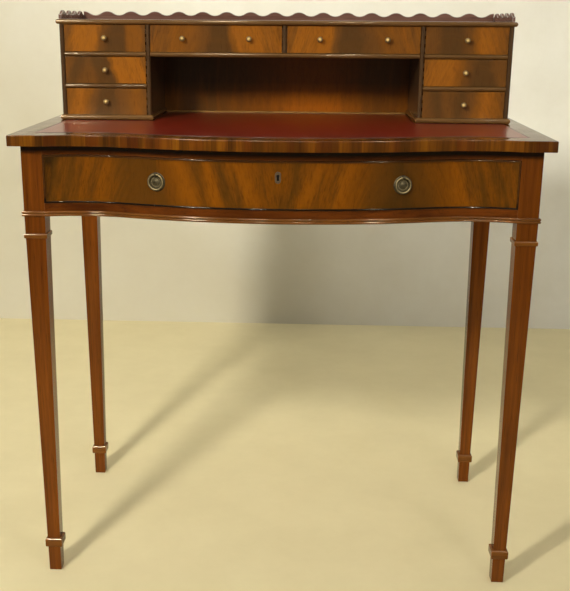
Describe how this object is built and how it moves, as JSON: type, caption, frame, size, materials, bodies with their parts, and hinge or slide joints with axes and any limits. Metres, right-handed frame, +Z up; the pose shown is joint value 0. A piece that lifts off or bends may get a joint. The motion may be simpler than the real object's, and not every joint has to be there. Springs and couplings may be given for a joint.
{
  "type": "bonheur du jour",
  "caption": "Small mahogany writing desk on tapered legs with a serpentine frieze drawer and a raised back of little drawers round a pigeonhole under a scalloped gallery.",
  "frame": {"origin": "on the floor, under the middle of the object's box", "axes": "+X to the sitter's right, +Y from the front to the back, +Z up"},
  "size_m": [0.838, 0.51, 0.9482],
  "materials": {
    "polished_mahogany": "glossy French polish",
    "red_mahogany_top": "mirror French polish",
    "red_leather": "polished grain, blind tooled",
    "flame_veneer": "glossy French polish",
    "mahogany_bead": "glossy French polish",
    "drawer_lining": "plain waxed",
    "bright_brass": "polished",
    "antique_brass": "antiqued",
    "lock_steel": "filed"
  },
  "bodies": {
    "carcase": {"writing_top": "red_mahogany_top", "writing_leather": "red_leather", "front_left_leg": "polished_mahogany", "front_right_leg": "polished_mahogany", "rear_left_leg": "polished_mahogany", "rear_right_leg": "polished_mahogany", "upper_leg_collars": "mahogany_bead", "foot_collars": "mahogany_bead", "left_apron": "polished_mahogany", "right_apron": "polished_mahogany", "back_apron": "polished_mahogany", "drawer_top_rail": "polished_mahogany", "drawer_bottom_rail": "polished_mahogany", "frieze_moulding": "mahogany_bead", "drawer_runners": "drawer_lining", "plinth_boards": "mahogany_bead", "left_outer_side": "polished_mahogany", "right_outer_side": "polished_mahogany", "left_inner_upright": "polished_mahogany", "right_inner_upright": "polished_mahogany", "centre_shelf": "polished_mahogany", "centre_divider": "polished_mahogany", "drawer_blades": "polished_mahogany", "superstructure_top": "polished_mahogany", "back_panel": "polished_mahogany", "pigeonhole_bead": "mahogany_bead", "gallery": "polished_mahogany"},
    "main_drawer": {"main_drawer_front": "flame_veneer", "main_drawer_box": "drawer_lining", "main_drawer_cock_bead": "mahogany_bead", "keyhole_escutcheon": "antique_brass", "lock_case": "lock_steel", "ring_plates": "antique_brass"},
    "lock_bolt": {"lock_bolt": "lock_steel"},
    "left_ring": {"left_ring": "antique_brass"},
    "right_ring": {"right_ring": "antique_brass"},
    "upper_left_drawer": {"upper_left_drawer_front": "flame_veneer", "upper_left_drawer_box": "drawer_lining", "upper_left_drawer_knob": "bright_brass"},
    "middle_left_drawer": {"middle_left_drawer_front": "flame_veneer", "middle_left_drawer_box": "drawer_lining", "middle_left_drawer_knob": "bright_brass"},
    "lower_left_drawer": {"lower_left_drawer_front": "flame_veneer", "lower_left_drawer_box": "drawer_lining", "lower_left_drawer_knob": "bright_brass"},
    "centre_left_drawer": {"centre_left_drawer_front": "flame_veneer", "centre_left_drawer_box": "drawer_lining", "centre_left_drawer_knobs": "bright_brass"},
    "upper_right_drawer": {"upper_right_drawer_front": "flame_veneer", "upper_right_drawer_box": "drawer_lining", "upper_right_drawer_knob": "bright_brass"},
    "middle_right_drawer": {"middle_right_drawer_front": "flame_veneer", "middle_right_drawer_box": "drawer_lining", "middle_right_drawer_knob": "bright_brass"},
    "lower_right_drawer": {"lower_right_drawer_front": "flame_veneer", "lower_right_drawer_box": "drawer_lining", "lower_right_drawer_knob": "bright_brass"},
    "centre_right_drawer": {"centre_right_drawer_front": "flame_veneer", "centre_right_drawer_box": "drawer_lining", "centre_right_drawer_knobs": "bright_brass"}
  },
  "joints": [
    {"name": "main_drawer_slide", "type": "slide", "parent": "carcase", "child": "main_drawer", "axis": [0, -1, 0], "range_m": [0, 0.26]},
    {"name": "lock_bolt_throw", "type": "slide", "parent": "main_drawer", "child": "lock_bolt", "axis": [0, 0, 1], "range_m": [0, 0.008]},
    {"name": "left_ring_hinge", "type": "hinge", "parent": "main_drawer", "child": "left_ring", "pos_m": [-0.19089, -0.21341, 0.704], "axis": [-0.9707, 0.2404, 0], "range_deg": [0, 90]},
    {"name": "right_ring_hinge", "type": "hinge", "parent": "main_drawer", "child": "right_ring", "pos_m": [0.19089, -0.21341, 0.704], "axis": [-0.9707, -0.2404, 0], "range_deg": [0, 90]},
    {"name": "upper_left_drawer_slide", "type": "slide", "parent": "carcase", "child": "upper_left_drawer", "axis": [0, -1, 0], "range_m": [0, 0.12]},
    {"name": "middle_left_drawer_slide", "type": "slide", "parent": "carcase", "child": "middle_left_drawer", "axis": [0, -1, 0], "range_m": [0, 0.12]},
    {"name": "lower_left_drawer_slide", "type": "slide", "parent": "carcase", "child": "lower_left_drawer", "axis": [0, -1, 0], "range_m": [0, 0.12]},
    {"name": "centre_left_drawer_slide", "type": "slide", "parent": "carcase", "child": "centre_left_drawer", "axis": [0, -1, 0], "range_m": [0, 0.12]},
    {"name": "upper_right_drawer_slide", "type": "slide", "parent": "carcase", "child": "upper_right_drawer", "axis": [0, -1, 0], "range_m": [0, 0.12]},
    {"name": "middle_right_drawer_slide", "type": "slide", "parent": "carcase", "child": "middle_right_drawer", "axis": [0, -1, 0], "range_m": [0, 0.12]},
    {"name": "lower_right_drawer_slide", "type": "slide", "parent": "carcase", "child": "lower_right_drawer", "axis": [0, -1, 0], "range_m": [0, 0.12]},
    {"name": "centre_right_drawer_slide", "type": "slide", "parent": "carcase", "child": "centre_right_drawer", "axis": [0, -1, 0], "range_m": [0, 0.12]}
  ]
}
